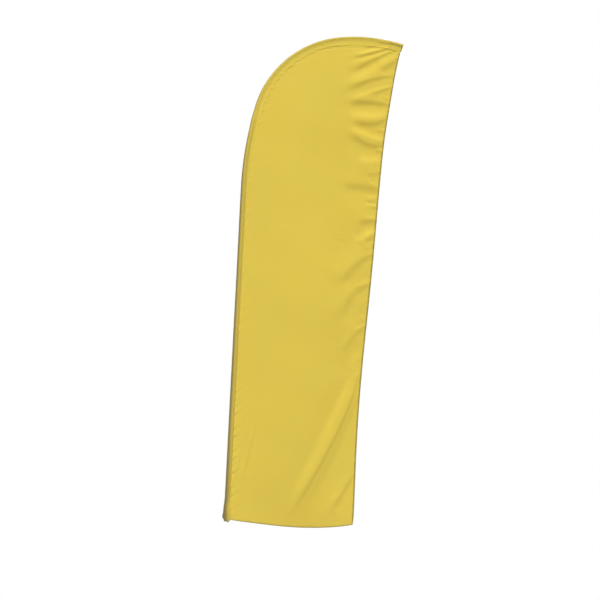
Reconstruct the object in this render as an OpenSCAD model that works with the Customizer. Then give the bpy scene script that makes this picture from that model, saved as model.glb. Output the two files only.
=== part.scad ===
/* [Pole] */
// Length of the pole from its foot to where it starts to bend
straight_run = 1687; // [1500:1:1900]
// Length of the lower tube with its bush, from the foot
base_len = 1004; // [900:1:1100]
// Outside diameter of the lower tube
base_d = 25; // [24:0.5:30]
// Wall of the lower tube
base_wall = 1.5; // [1:0.1:2]
// Outside diameter of the middle tube
mid_d = 18; // [17:0.5:19]
// Wall of the middle tube
mid_wall = 2.5; // [2:0.1:3]
// Distance along the pole to the middle tube's upper end
mid_end = 2000; // [1980:1:2020]
// Diameter of the tip rod where it leaves the middle tube
rod_d = 12; // [10:0.1:12.4]
// Diameter of the tip rod at its end
rod_tip_d = 5.4; // [4:0.1:7]

/* [Bend] */
// Radius of the gentle bend in the middle tube
bend_a_r = 1560; // [1400:1:2000]
// Angle of the gentle bend
bend_a = 9; // [7:0.1:10]
// Straight stretch under the collar, where the rod enters the tube
joint_run = 110; // [90:1:130]
// Radius of the crown, where the rod is bent most
bend_b_r = 480; // [440:1:560]
// Angle of the crown
bend_b = 72; // [66:0.1:76]
// Radius of the last bend, towards the tip
bend_c_r = 750; // [650:1:900]
// Angle of the last bend
bend_c = 25; // [20:0.1:30]

/* [Foot] */
// Radius of the spindle bore in the pole's foot
bore_r = 8.1; // [7:0.05:9]
// Depth of the spindle bore
bore_len = 120; // [80:1:122]
// Thickness of a bush's rim
rim_t = 3; // [2:0.5:5]

/* [Sail] */
// Width of the sail's foot, from the pole's axis to the corner
foot_w = 632; // [560:1:700]
// Height of the free corner above the pole's foot
corner_z = 10; // [0:1:40]
// How far the foot curves down between its ends
foot_sag = 21; // [0:1:30]
// How far the free edge spreads evenly from foot to tip
leech_spread = 95; // [60:1:120]
// How far the middle of the sail bellies out
belly = 34; // [0:1:45]
// Thickness of the sail's cloth
cloth_t = 0.6; // [0.4:0.1:1]
// Width of the hems
hem_w = 12; // [8:1:20]
// Thickness of a turned hem
hem_t = 1.4; // [1.2:0.1:2]

/* [Sleeve] */
// Flat width of the sleeve that holds the pole
sleeve_w = 42; // [38:0.5:48]
// Thickness of the sleeve's cloth
sleeve_t = 0.8; // [0.6:0.1:1.2]
// Height of the sleeve's mouth above the pole's foot
mouth_z = 4; // [4:1:10]
// Length of the doubled cuff at the sleeve's mouth
cuff_len = 120; // [120:1:140]
// Length of the closed pocket that holds the pole's tip
pocket_len = 72; // [60:1:90]

/* [Cord] */
// Diameter of the drawcord
cord_d = 3; // [3:0.1:3.2]
// Outside diameter of the cord lock
lock_d = 10.6; // [10.2:0.1:11]
// Length of the cord lock's barrel
lock_len = 23; // [22:0.5:24]
// How far the cord lock's button stands out of the barrel; it stops 0.3 mm before it touches
button_travel = 4; // [3:0.1:4]

/* [Hidden] */
$fn = 96;

// a small length by which cuts run past a face
eps = 1;
// radial play of a part that turns or slides in another
play = 0.05;
// gap between the pole and the cloth round it
cloth_gap = 0.6;
// sides of the sleeve's rings and of the rod's
sleeve_sides = 18;
rod_sides = 16;

// ---- the pole's centre line, by distance s from its foot ----
function arc_len(r, a) = r * a * PI / 180;
run_a = straight_run;
run_b = run_a + arc_len(bend_a_r, bend_a);
run_c = run_b + joint_run;
run_d = run_c + arc_len(bend_b_r, bend_b);
pole_len = run_d + arc_len(bend_c_r, bend_c);

// lean of the centre line from upright, towards +X
function lean(s) =
    s < run_a ? 0 :
    s < run_b ? (s - run_a) / bend_a_r * 180 / PI :
    s < run_c ? bend_a :
    s < run_d ? bend_a + (s - run_c) / bend_b_r * 180 / PI :
    bend_a + bend_b + (s - run_d) / bend_c_r * 180 / PI;
// the end of an arc of radius r that starts at p with lean a0 and ends with lean a1
function swing(p, r, a0, a1) = p + r * [cos(a0) - cos(a1), 0, sin(a1) - sin(a0)];
// unit vectors along the pole, and across it towards the sail
function along(s) = [sin(lean(s)), 0, cos(lean(s))];
function inward(s) = [cos(lean(s)), 0, -sin(lean(s))];
point_a = [0, 0, run_a];
point_b = swing(point_a, bend_a_r, 0, bend_a);
point_c = point_b + joint_run * along(run_b + eps);
point_d = swing(point_c, bend_b_r, bend_a, bend_a + bend_b);
function pole(s) =
    s < run_a ? [0, 0, s] :
    s < run_b ? swing(point_a, bend_a_r, 0, lean(s)) :
    s < run_c ? point_b + (s - run_b) * along(s) :
    s < run_d ? swing(point_c, bend_b_r, bend_a, lean(s)) :
    swing(point_d, bend_c_r, bend_a + bend_b, lean(s));

// ---- sweeps ----
// a closed solid through rings of points, with flat ends
module skin(rings) {
    n = len(rings[0]);
    last = len(rings) - 1;
    sides = [for (i = [0 : last - 1], j = [0 : n - 1])
        [i * n + j, i * n + (j + 1) % n, (i + 1) * n + (j + 1) % n, (i + 1) * n + j]];
    foot = [for (j = [n - 1 : -1 : 0]) j];
    head = [for (j = [0 : n - 1]) last * n + j];
    points = [for (ring = rings, p = ring) p];
    polyhedron(points, concat(sides, [foot, head]), convexity = 8);
}
// a closed tube between outer rings and inner rings, open at its foot and open or shut at its head
module hose(outer, inner, shut) {
    n = len(outer[0]);
    last = len(outer) - 1;
    m = n * (last + 1);
    walls = [for (i = [0 : last - 1], j = [0 : n - 1])
        [i * n + j, i * n + (j + 1) % n, (i + 1) * n + (j + 1) % n, (i + 1) * n + j]];
    linings = [for (f = walls) [m + f[3], m + f[2], m + f[1], m + f[0]]];
    foot = [for (j = [0 : n - 1]) [j, m + j, m + (j + 1) % n, (j + 1) % n]];
    rim = [for (f = foot) [for (k = [3 : -1 : 0]) f[k] + last * n]];
    lids = [[for (j = [0 : n - 1]) last * n + j], [for (j = [n - 1 : -1 : 0]) m + last * n + j]];
    points = [for (ring = concat(outer, inner), p = ring) p];
    polyhedron(points, concat(walls, linings, foot, shut ? lids : rim), convexity = 8);
}
// a ring of n points of radius r round the pole at s
function round_ring(s, r, n) =
    [for (i = [0 : n - 1]) pole(s) + r * cos(-360 * i / n) * inward(s) + r * sin(-360 * i / n) * [0, 1, 0]];

// ---- the sleeve's section: the pole's circle, drawn out to the seam ----
// girth of a band round a circle of radius r that meets at distance d from its centre
function girth(r, d) = 2 * sqrt(d * d - r * r) + 2 * r * (PI - acos(r / d) * PI / 180);
// the distance at which the sleeve's seam lies, found by halving
function seam(r, lo, hi, n) =
    n == 0 ? (lo + hi) / 2 :
    girth(r, (lo + hi) / 2) > 2 * sleeve_w ? seam(r, lo, (lo + hi) / 2, n - 1) :
    seam(r, (lo + hi) / 2, hi, n - 1);
function seam_at(r) = seam(r, r + 0.01, sleeve_w, 24);
// points of the section, from the seam round the outer side and back
function drop(r, d, n) = concat([[d, 0]],
    [for (i = [0 : n]) let(a = -acos(r / d) - i / n * (360 - 2 * acos(r / d))) r * [cos(a), sin(a)]]);
function drop_ring(s, r, d, n) = [for (p = drop(r, d, n)) pole(s) + p[0] * inward(s) + p[1] * [0, 1, 0]];

// a value that goes from a to b as s goes from s0 to s1
function ramp(s, s0, s1, a, b) = a + (b - a) * min(1, max(0, (s - s0) / (s1 - s0)));
base_r = base_d / 2;
mid_r = mid_d / 2;
// the sleeve is sewn from two lengths, which meet a little above the lower tube
sleeve_split = base_len + 26;
// the collar laps down over the middle tube and stands a little past its end
ferrule_at = mid_end - 55;
ferrule_end = mid_end + 5;
ferrule_r = mid_r + 1;
// the rubber cap on the rod's end
cap_r = rod_tip_d / 2 + 2.3;
cap_len = 20;
rod_end = pole_len - 8;
pocket_at = pole_len - pocket_len;
// over these lengths the sleeve eases out over a step in the pole, and in again
ease_out = 20;
ease_in = 60;
cap_lead = 30;
function rod_r(s) = ramp(s, mid_end, rod_end, rod_d / 2, rod_tip_d / 2);
// the pole's own radius at s, and the sleeve's inner radius there
function core_r(s) =
    s < sleeve_split ? base_r :
    s < ferrule_at - ease_out ? ramp(s, sleeve_split, sleeve_split + ease_in, base_r, mid_r) :
    s < ferrule_end + ease_out ? ferrule_r :
    max(rod_r(s), ramp(s, ferrule_end + ease_out, ferrule_end + ease_in, ferrule_r, 0),
        s > pocket_at - cap_lead ? cap_r : 0);
function inner_r(s) = core_r(s) + cloth_gap;
function luff_d(s) = seam_at(inner_r(s)) + 2 * sleeve_t;

module sleeve_run(s0, s1, steps) {
    stations = [for (i = [0 : steps]) s0 + (s1 - s0) * i / steps];
    hose([for (s = stations) drop_ring(s, inner_r(s) + sleeve_t, luff_d(s), sleeve_sides)],
        [for (s = stations) drop_ring(s, inner_r(s), seam_at(inner_r(s)), sleeve_sides)], false);
}

// ---- the sail's surface, by u across from the luff and v up from the foot ----
// how deep the sail's edge is sewn into the seam: a little more round the bends
function seat_d(s) = s < run_a ? 0.5 : 1;
sail_top = pole_len - 2;
// the share of the luff that v runs along evenly, and how sharply the free edge runs out at the tip
luff_even = 0.82;
tip_power = 13;
// the foot's droop: how far up it reaches, as a share of the height, and how it leans to the free corner
droop_reach = 0.13;
droop_skew = 1.25;
// the belly: how its deepest place lies below the middle, and the width below which it fades
belly_skew = 0.8;
belly_fade = 300;
leech_top = pole(sail_top) + luff_d(sail_top) * inward(sail_top);
// height of the free edge at v, and its distance from the pole's axis
function leech_z(v) = corner_z + (leech_top[2] - corner_z) * v;
function leech_x(v) = foot_w + leech_spread * pow(v, 2)
    + (leech_top[0] - foot_w - leech_spread) * pow(v, tip_power);
// distance along the pole at v: even over the straight, then quicker round the crown
function luff_s(v) = mouth_z + (sail_top - mouth_z) * (luff_even * v + (1 - luff_even) * pow(v, 3));
function luff(v) = let(s = luff_s(v)) pole(s) + (luff_d(s) - seat_d(s)) * inward(s);
function leech(v) = [leech_x(v), 0, leech_z(v)];
function chord(v) = max(norm(leech(v) - luff(v)), 1);
// the foot's droop fades out above it
function droop(u, v) = foot_sag * sin(180 * pow(u, droop_skew)) * pow(max(0, 1 - v / droop_reach), 2);
function depth(u, v) = -belly * sin(180 * u) * sin(180 * pow(v, belly_skew))
    * min(1, chord(v) / belly_fade);
function cloth(u, v) = luff(v) + u * (leech(v) - luff(v)) + [0, depth(u, v), -droop(u, v)];
foot_v = hem_w / (leech_top[2] - corner_z);
// the hem's share of the width, which narrows where the sail runs out at the tip
function hem_share(v) = min(hem_w / chord(v), 0.5);

// a closed sheet of thickness t over part of the sail: points in front, the same behind, and its rim
module patch(us, vs, t) {
    nu = len(us);
    nv = len(vs);
    m = nu * nv;
    front = [for (v = vs, e = us) cloth(e[0] - e[1] * hem_share(v), v) - [0, t / 2, 0]];
    back = [for (p = front) p + [0, t, 0]];
    cells = [for (j = [0 : nv - 2], i = [0 : nu - 2]) let(k = j * nu + i) each
        [[k, k + nu, k + nu + 1], [k, k + nu + 1, k + 1]]];
    rim = concat([for (i = [0 : nu - 1]) i], [for (j = [1 : nv - 1]) j * nu + nu - 1],
        [for (i = [nu - 2 : -1 : 0]) (nv - 1) * nu + i], [for (j = [nv - 2 : -1 : 1]) j * nu]);
    edges = [for (i = [0 : len(rim) - 1]) let(a = rim[i], b = rim[(i + 1) % len(rim)]) each
        [[a, b, b + m], [a, b + m, a + m]]];
    lining = [for (f = cells) [m + f[2], m + f[1], m + f[0]]];
    polyhedron(concat(front, back), concat(cells, lining, edges), convexity = 8);
}
// places across, each a fraction of the width and the number of hem widths to take off it
steps_across = 12;
steps_up = 60;
sail_us = [for (i = [0 : steps_across]) [i / steps_across, i / steps_across]];
hem_us = [[1, 1], [1, 0.5], [1, 0]];
hem_vs = [for (i = [0 : steps_up]) i / steps_up];
sail_vs = [for (v = hem_vs) foot_v + (1 - foot_v) * v];
foot_vs = [0, foot_v / 2, foot_v];

// ---- the pole ----
// the bush in the lower tube's head: the socket's depth, and its rim and floor
socket_depth = 95;
socket_rim_t = 4;
socket_floor_t = 4;
mid_foot = base_len - socket_depth;
module base_section() {
    color("#202124")
        translate([0, 0, rim_t])
            difference() {
                cylinder(h = base_len - socket_rim_t - rim_t, r = base_r);
                translate([0, 0, -eps])
                    cylinder(h = base_len, r = base_r - base_wall);
            }
}

module foot_bush() {
    color("#161616")
        difference() {
            union() {
                cylinder(h = rim_t, r = base_r);
                cylinder(h = bore_len, r = base_r - base_wall);
            }
            translate([0, 0, -eps])
                cylinder(h = bore_len + 2 * eps, r = bore_r);
        }
}

plug_len = socket_depth + socket_floor_t - socket_rim_t / 2;
module socket_bush() {
    color("#161616")
        difference() {
            union() {
                translate([0, 0, base_len - socket_rim_t])
                    cylinder(h = socket_rim_t, r = base_r);
                translate([0, 0, mid_foot - socket_floor_t])
                    cylinder(h = plug_len, r = base_r - base_wall - play);
            }
            translate([0, 0, mid_foot])
                cylinder(h = socket_depth + eps, r = mid_r + play);
        }
}

// the collar's seat: the tube's upper end is turned down by this much, and bored out by as much
seat_step = 0.1;
seat_lap = 2;
// a rod of radius r along the pole through the middle tube, ending with radius r_seat, longer by extra
module mid_core(r, r_seat, extra) {
    translate([0, 0, mid_foot - extra])
        cylinder(h = run_a - mid_foot + extra, r = r);
    translate([bend_a_r, 0, run_a])
        rotate([90, 0, 180])
            rotate_extrude(angle = bend_a)
                translate([bend_a_r, 0])
                    circle(r = r);
    translate(pole(run_b - seat_lap))
        rotate([0, bend_a, 0])
            cylinder(h = mid_end - run_b + seat_lap + extra, r = r_seat);
}

module mid_section() {
    bore = mid_r - mid_wall;
    color("#1c1c1e")
        difference() {
            mid_core(mid_r, mid_r - seat_step, 0);
            mid_core(bore, bore + seat_step, eps);
        }
}

// gap between the rod and the collar round it
rod_gap = 0.3;
module mid_ferrule() {
    color("#8c8f94")
        translate(pole(ferrule_at))
            rotate([0, bend_a, 0])
                difference() {
                    cylinder(h = ferrule_end - ferrule_at, r = ferrule_r);
                    translate([0, 0, -eps])
                        cylinder(h = mid_end - ferrule_at + eps, r = mid_r - seat_step);
                    cylinder(h = ferrule_end, r = rod_d / 2 + rod_gap);
                }
}

// the rod's spigot, which slides into the middle tube
spigot_len = 64;
spigot_gap = 0.1;
rod_steps = 44;
module tip_rod() {
    spigot_r = mid_r - mid_wall - spigot_gap;
    spigot = [for (s = [mid_end - spigot_len, mid_end - eps]) round_ring(s, spigot_r, rod_sides)];
    stations = [for (i = [0 : rod_steps]) ramp(i, 0, rod_steps, mid_end, rod_end)];
    taper = [for (s = stations) round_ring(s, rod_r(s), rod_sides)];
    color("#1a1a1a")
        skin(concat(spigot, taper));
}

// thickness of the cap's end, and its gap round the rod
cap_floor = 4;
cap_gap = 0.15;
module tip_cap() {
    color("#101010")
        translate(pole(rod_end))
            rotate([0, lean(rod_end), 0])
                difference() {
                    translate([0, 0, cap_floor - cap_len])
                        cylinder(h = cap_len, r = cap_r);
                    translate([0, 0, -cap_len])
                        cylinder(h = cap_len, r = rod_tip_d / 2 + cap_gap);
                }
}

// ---- the cloth ----
cuff_top = mouth_z + cuff_len;
straight_sides = 40;
module sleeve_lower() {
    r = inner_r(0);
    color("#cbb350")
        translate([0, 0, cuff_top])
            linear_extrude(sleeve_split - cuff_top)
                difference() {
                    polygon(drop(r + sleeve_t, luff_d(0), straight_sides));
                    polygon(drop(r, seam_at(r), straight_sides));
                }
}

sleeve_steps = 64;
pocket_steps = 6;
module sleeve_upper() {
    color("#cbb350")
        sleeve_run(sleeve_split, pocket_at, sleeve_steps);
}

// the pocket is sewn on twice as thick, and its end is closed by one more layer
module tip_pocket() {
    stations = [for (i = [0 : pocket_steps]) pocket_at + pocket_len * i / pocket_steps];
    outer = [for (i = [0 : pocket_steps]) let(s = stations[i], lid = i == pocket_steps ? sleeve_t : 0)
        drop_ring(s + lid, inner_r(s) + 2 * sleeve_t, luff_d(s) + sleeve_t, sleeve_sides)];
    inner = [for (s = stations) drop_ring(s, inner_r(s), seam_at(inner_r(s)), sleeve_sides)];
    color("#c4a94a")
        hose(outer, inner, true);
}

// the cuff is drawn in to a round band, with a channel for the cord
cuff_r = base_r + cloth_gap;
cuff_t = 1;
channel_z = 66;
channel_gap = 0.2;
channel_r = cord_d / 2 + channel_gap;
channel_wall = 0.3;
channel_h = 12;
channel_ring_r = 15.2;
// the cuff's sewn edge, which joins it to the sail
web_t = 1.2;
// where the cord hangs, beside and behind the pole, and the eyelet that it comes out of
cord_x = 7;
cord_y = 24;
eyelet_turn = atan2(cord_y, cord_x);
eyelet_hole_r = 2.1;
eyelet_barrel_r = 2.7;
eyelet_rim_r = 4.5;
eyelet_rim_t = 0.6;
eyelet_face = 17.4;
eyelet_patch_r = 5;
module at_eyelet(r) {
    translate([0, 0, channel_z])
        rotate([0, 90, eyelet_turn])
            translate([0, 0, r])
                children();
}
module cuff_outline() {
    translate([cuff_r, mouth_z])
        square([cuff_t, cuff_len]);
    translate([cuff_r, channel_z - channel_h / 2])
        square([channel_ring_r + channel_r + channel_wall - cuff_r, channel_h]);
}
module sleeve_cuff() {
    color("#c8ae4e")
        difference() {
            union() {
                rotate_extrude()
                    cuff_outline();
                translate([cuff_r + cuff_t / 2, -web_t / 2, mouth_z])
                    cube([luff_d(0) - cuff_r - cuff_t / 2, web_t, cuff_len]);
                at_eyelet(channel_ring_r)
                    cylinder(h = eyelet_face - channel_ring_r, r = eyelet_patch_r);
            }
            translate([0, 0, channel_z])
                rotate_extrude()
                    translate([channel_ring_r, 0])
                        circle(r = channel_r, $fn = 32);
            at_eyelet(channel_ring_r)
                cylinder(h = eyelet_face - channel_ring_r + eps, r = eyelet_barrel_r);
        }
}

module sail() {
    color("#dec450")
        patch(sail_us, sail_vs, cloth_t);
}

module leech_hem() {
    color("#bea84e")
        patch(hem_us, hem_vs, hem_t);
}

module foot_hem() {
    color("#bea84e")
        patch(sail_us, foot_vs, hem_t);
}

// ---- the drawcord and its lock ----
cord_r = cord_d / 2;
// the free tail: out of the eyelet, over, and straight down through the lock to its bead
cord_route = [
    [4.2, 14.4, 66], [4.8, 16.3, 66], [5.3, 18.2, 66], [5.9, 20.1, 65.7], [6.4, 21.9, 64.6],
    [6.8, 23.3, 62.6], [7, 24, 60], [7, 24, 54], [7, 24, 46], [7, 24, 38], [7, 24, 30], [7, 24, 22],
    [7, 24, 14], [7, 24, 6], [7, 24, -2]];
cord_foot = cord_route[len(cord_route) - 1][2];
cord_sides = 8;

module drawcord_loop() {
    color("#2a2a2c")
        translate([0, 0, channel_z])
            rotate_extrude()
                translate([channel_ring_r, 0])
                    circle(r = cord_r, $fn = 24);
}

// the route's direction at point i, in the upright plane through the pole and the eyelet
function cord_way(i) = let(
    a = cord_route[max(0, i - 1)],
    b = cord_route[min(len(cord_route) - 1, i + 1)]) (b - a) / norm(b - a);
// the level direction square to that plane
cord_side = [-cord_y, cord_x, 0] / norm([cord_x, cord_y]);
function cord_ring(i) = [for (k = [0 : cord_sides - 1]) let(a = 360 * (k + 0.5) / cord_sides)
    cord_route[i] + cord_r * (cos(a) * cord_side + sin(a) * cross(cord_way(i), cord_side))];
module drawcord() {
    color("#2a2a2c")
        skin([for (i = [0 : len(cord_route) - 1]) cord_ring(i)]);
}

// the eyelet's barrel starts just clear of the cord in the channel
eyelet_gap = 0.1;
eyelet_seat = channel_ring_r + cord_r + eyelet_gap;
module eyelet() {
    color("#b9a25a")
        at_eyelet(eyelet_seat)
            difference() {
                union() {
                    cylinder(h = eyelet_face - eyelet_seat, r = eyelet_barrel_r);
                    translate([0, 0, eyelet_face - eyelet_seat])
                        cylinder(h = eyelet_rim_t, r = eyelet_rim_r);
                }
                translate([0, 0, -eps])
                    cylinder(h = eyelet_face - eyelet_seat + eyelet_rim_t + 2 * eps, r = eyelet_hole_r);
            }
}

// the lock lies level across the cord: a barrel, shut at one end, and a button that slides in it
lock_z = 46;
lock_r = lock_d / 2;
lock_x = cord_x - 18;
lock_floor = 1.5;
ridge_at = 2;
ridge_w = 1.5;
ridge_rise = 0.2;
button_r = 4.05;
button_foot = lock_x + 11;
button_face = lock_x + lock_len + button_travel;
button_head_t = 3;
button_lip = 0.5;
passage_h = 20;
// room round the cord in the barrel and in the button
barrel_room = 0.4;
button_room = 0.2;
button_offset = 0.1;

module along_lock(x) {
    translate([x, cord_y, lock_z])
        rotate([0, 90, 0])
            children();
}
// an upright hole for the cord at x
module cord_hole(x, r) {
    translate([x, cord_y, lock_z - passage_h / 2])
        cylinder(h = passage_h, r = r, $fn = 48);
}
// the same hole drawn out to a slot, as long as the button travels
module cord_slot(x, r) {
    cord_hole(x, r);
    cord_hole(x + button_travel, r);
    translate([x, cord_y - r, lock_z - passage_h / 2])
        cube([button_travel, 2 * r, passage_h]);
}

module cord_lock_barrel() {
    color("#1b1b1b")
        difference() {
            union() {
                along_lock(lock_x)
                    cylinder(h = lock_len, r = lock_r);
                along_lock(lock_x + ridge_at)
                    cylinder(h = ridge_w, r = lock_r + ridge_rise);
            }
            along_lock(lock_x + lock_floor)
                cylinder(h = lock_len, r = button_r + play);
            cord_hole(cord_x, cord_r + barrel_room);
        }
}

module cord_lock_button() {
    color("#242424")
        difference() {
            union() {
                along_lock(button_foot)
                    cylinder(h = button_face - button_foot + eps, r = button_r);
                along_lock(button_face)
                    cylinder(h = button_head_t, r = lock_r - button_lip);
            }
            cord_slot(cord_x + button_offset, cord_r + button_room);
        }
}

// the spring between the barrel's floor and the button
spring_turns = 5;
turn_steps = 16;
spring_r = 3.2;
wire_r = 0.4;
wire_sides = 6;
function spring_ring(x, a) = [for (k = [0 : wire_sides - 1]) let(b = 360 * k / wire_sides)
    [x + wire_r * sin(b), cord_y + (spring_r + wire_r * cos(b)) * cos(a),
        lock_z - (spring_r + wire_r * cos(b)) * sin(a)]];
module cord_lock_spring() {
    x0 = lock_x + lock_floor + wire_r;
    x1 = button_foot - wire_r;
    steps = spring_turns * turn_steps;
    color("#a9abad")
        skin([for (i = [0 : steps]) spring_ring(x0 + (x1 - x0) * i / steps, 360 * i / turn_steps)]);
}

// the bead that closes over the cord's end: two cones, foot to foot
bead_z = -8;
bead_h = 10;
bead_foot_r = 2.6;
bead_r = 4;
bead_top_r = 2.4;
bead_widest = 4;
module cord_end() {
    color("#2b2b2d")
        translate([cord_x, cord_y, bead_z])
            difference() {
                union() {
                    cylinder(h = bead_widest, r1 = bead_foot_r, r2 = bead_r);
                    translate([0, 0, bead_widest])
                        cylinder(h = bead_h - bead_widest, r1 = bead_r, r2 = bead_top_r);
                }
                translate([0, 0, cord_foot - bead_z])
                    cylinder(h = bead_h, r = cord_r);
            }
}

base_section();
foot_bush();
socket_bush();
mid_section();
mid_ferrule();
tip_rod();
tip_cap();
sleeve_lower();
sleeve_upper();
sleeve_cuff();
tip_pocket();
sail();
leech_hem();
foot_hem();
drawcord_loop();
drawcord();
eyelet();
cord_lock_barrel();
cord_lock_button();
cord_lock_spring();
cord_end();
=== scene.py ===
import math

import bpy
import numpy as np
from mathutils import Matrix, Vector


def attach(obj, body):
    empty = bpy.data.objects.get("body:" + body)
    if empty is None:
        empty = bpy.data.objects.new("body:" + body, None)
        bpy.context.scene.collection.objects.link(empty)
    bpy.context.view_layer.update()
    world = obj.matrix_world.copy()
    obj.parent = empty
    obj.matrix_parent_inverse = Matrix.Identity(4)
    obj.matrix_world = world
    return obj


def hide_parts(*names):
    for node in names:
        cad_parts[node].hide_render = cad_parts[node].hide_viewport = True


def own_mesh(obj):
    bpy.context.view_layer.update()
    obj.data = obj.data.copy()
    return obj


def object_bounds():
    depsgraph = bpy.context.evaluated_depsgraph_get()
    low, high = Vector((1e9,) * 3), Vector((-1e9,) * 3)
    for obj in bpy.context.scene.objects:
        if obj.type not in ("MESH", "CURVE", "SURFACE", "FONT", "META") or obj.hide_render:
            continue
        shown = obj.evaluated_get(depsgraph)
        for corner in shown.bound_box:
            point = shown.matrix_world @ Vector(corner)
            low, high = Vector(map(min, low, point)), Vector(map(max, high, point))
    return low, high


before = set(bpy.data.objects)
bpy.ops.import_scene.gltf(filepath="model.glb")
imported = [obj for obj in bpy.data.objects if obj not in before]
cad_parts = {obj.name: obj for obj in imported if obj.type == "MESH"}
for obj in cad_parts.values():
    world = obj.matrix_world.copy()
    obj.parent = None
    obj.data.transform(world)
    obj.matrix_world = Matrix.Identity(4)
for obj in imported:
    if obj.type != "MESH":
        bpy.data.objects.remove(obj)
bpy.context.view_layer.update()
chance = np.random.default_rng(11)

MM = 0.001

# ---- the camera: level with the middle of the flag, and rolled as the flag leans ----
CAMERA_ROLL = math.radians(2.955)
CAMERA_AIM = Vector((0.311, 0, 1.1233))
CAMERA_DISTANCE = 9.0
VIEW_WIDTH = 3.0


def make_camera():
    data = bpy.data.cameras.new("camera")
    data.sensor_width = 36
    data.lens = data.sensor_width * CAMERA_DISTANCE / VIEW_WIDTH
    camera = bpy.data.objects.new("camera", data)
    bpy.context.scene.collection.objects.link(camera)
    right = Vector((math.cos(CAMERA_ROLL), 0, math.sin(CAMERA_ROLL)))
    up = Vector((-math.sin(CAMERA_ROLL), 0, math.cos(CAMERA_ROLL)))
    back = Vector((0, -1, 0))
    turn = Matrix((right, up, back)).transposed().to_4x4()
    camera.matrix_world = Matrix.Translation(CAMERA_AIM + back * CAMERA_DISTANCE) @ turn
    bpy.context.scene.camera = camera


# ---- meshes ----
def make_piece(name, points, faces, body, slot, stands_for=()):
    """A smooth-shaded mesh piece that rides on a body and stands for CAD nodes."""
    mesh = bpy.data.meshes.new(name)
    mesh.from_pydata([tuple(p) for p in points], [], [tuple(int(k) for k in f) for f in faces])
    mesh.validate()
    mesh.shade_smooth()
    piece = bpy.data.objects.new(name, mesh)
    bpy.context.scene.collection.objects.link(piece)
    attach(piece, body)
    if stands_for:
        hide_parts(*stands_for)
    return piece


def grid_faces(rows, columns, wrap, first=0, flip=False):
    """Quads over a grid of points numbered row by row; wrap joins the last column to the first."""
    last = columns if wrap else columns - 1
    j, i = np.meshgrid(np.arange(rows - 1), np.arange(last), indexing="ij")
    a, b = j * columns + i, j * columns + (i + 1) % columns
    quads = np.stack([a, b, b + columns, a + columns], -1).reshape(-1, 4) + first
    return quads[:, ::-1] if flip else quads


def shell(front, back):
    """Points and faces of a closed sheet between two grids of points."""
    rows, columns = front.shape[:2]
    count = rows * columns
    index = np.arange(count).reshape(rows, columns)
    rim = np.concatenate([index[0], index[1:, -1], index[-1, -2::-1], index[-2:0:-1, 0]])
    ahead = np.roll(rim, -1)
    edges = np.stack([ahead, rim, rim + count, ahead + count], -1)
    faces = [*grid_faces(rows, columns, False), *grid_faces(rows, columns, False, count, True), *edges]
    return np.concatenate([front.reshape(-1, 3), back.reshape(-1, 3)]), faces


def sock(outer, inner, shut=False):
    """Points and faces of a closed tube between rings outside and rings inside; shut closes its far end."""
    rows, columns = outer.shape[:2]
    count = rows * columns
    near = np.arange(columns)
    far = near + (rows - 1) * columns
    rims = [np.stack([np.roll(near, -1), near, near + count, np.roll(near, -1) + count], -1)]
    if not shut:
        rims.append(np.stack([far, np.roll(far, -1), np.roll(far, -1) + count, far + count], -1))
    faces = [*grid_faces(rows, columns, True), *grid_faces(rows, columns, True, count, True)]
    faces += [f for rim in rims for f in rim]
    if shut:
        faces += [tuple(far), tuple(far[::-1] + count)]
    return np.concatenate([outer.reshape(-1, 3), inner.reshape(-1, 3)]), faces


def smoothstep(x, low, high):
    t = np.clip((x - low) / (high - low), 0, 1)
    return t * t * (3 - 2 * t)


def hump(x, middle, width):
    return np.exp(-(((x - middle) / width) ** 2))


def ripples(lengths):
    """A seeded uneven wave, about 1 high, made of waves of these lengths."""
    phases = chance.uniform(0, 2 * math.pi, len(lengths))
    heights = chance.uniform(0.6, 1, len(lengths)) / math.sqrt(len(lengths))

    def wave(x):
        return sum(h * np.sin(2 * math.pi * x / l + p) for l, h, p in zip(lengths, heights, phases))

    return wave


def shade_both(piece, shade):
    """Gives the two faces of a sheet, one after the other in its points, the same shade."""
    attribute = piece.data.attributes.new("shade", "FLOAT", "POINT")
    attribute.data.foreach_set("value", np.tile(shade.astype(np.float32).ravel(), 2))


# ---- the pole's centre line, by distance s from its foot ----
JOINT_RUN = 0.110
ARC_A, ARC_B, ARC_C = ((1.560, math.radians(9)), (0.480, math.radians(72)), (0.750, math.radians(25)))
RUN_A = 1.687
RUN_B = RUN_A + ARC_A[0] * ARC_A[1]
RUN_C = RUN_B + JOINT_RUN
RUN_D = RUN_C + ARC_B[0] * ARC_B[1]
POLE_LEN = RUN_D + ARC_C[0] * ARC_C[1]


def lean(s):
    bends = ((RUN_A, *ARC_A), (RUN_C, *ARC_B), (RUN_D, *ARC_C))
    return sum(np.clip((s - start) / radius, 0, angle) for start, radius, angle in bends)


STATIONS = np.linspace(0, POLE_LEN + 0.004, 4001)
STEP = STATIONS[1] - STATIONS[0]
STATION_X = np.concatenate([[0], np.cumsum(np.sin(lean(STATIONS[:-1] + STEP / 2)) * STEP)])
STATION_Z = np.concatenate([[0], np.cumsum(np.cos(lean(STATIONS[:-1] + STEP / 2)) * STEP)])


def pole(s):
    s = np.asarray(s, float)
    x, z = np.interp(s, STATIONS, STATION_X), np.interp(s, STATIONS, STATION_Z)
    return np.stack([x, np.zeros_like(s), z], -1)


def inward(s):
    a = lean(np.asarray(s, float))
    return np.stack([np.cos(a), np.zeros_like(a), -np.sin(a)], -1)


# ---- the sleeve's section: round the pole, and drawn out to the seam ----
SLEEVE_W = 0.042
SLEEVE_T = 0.8 * MM
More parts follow.
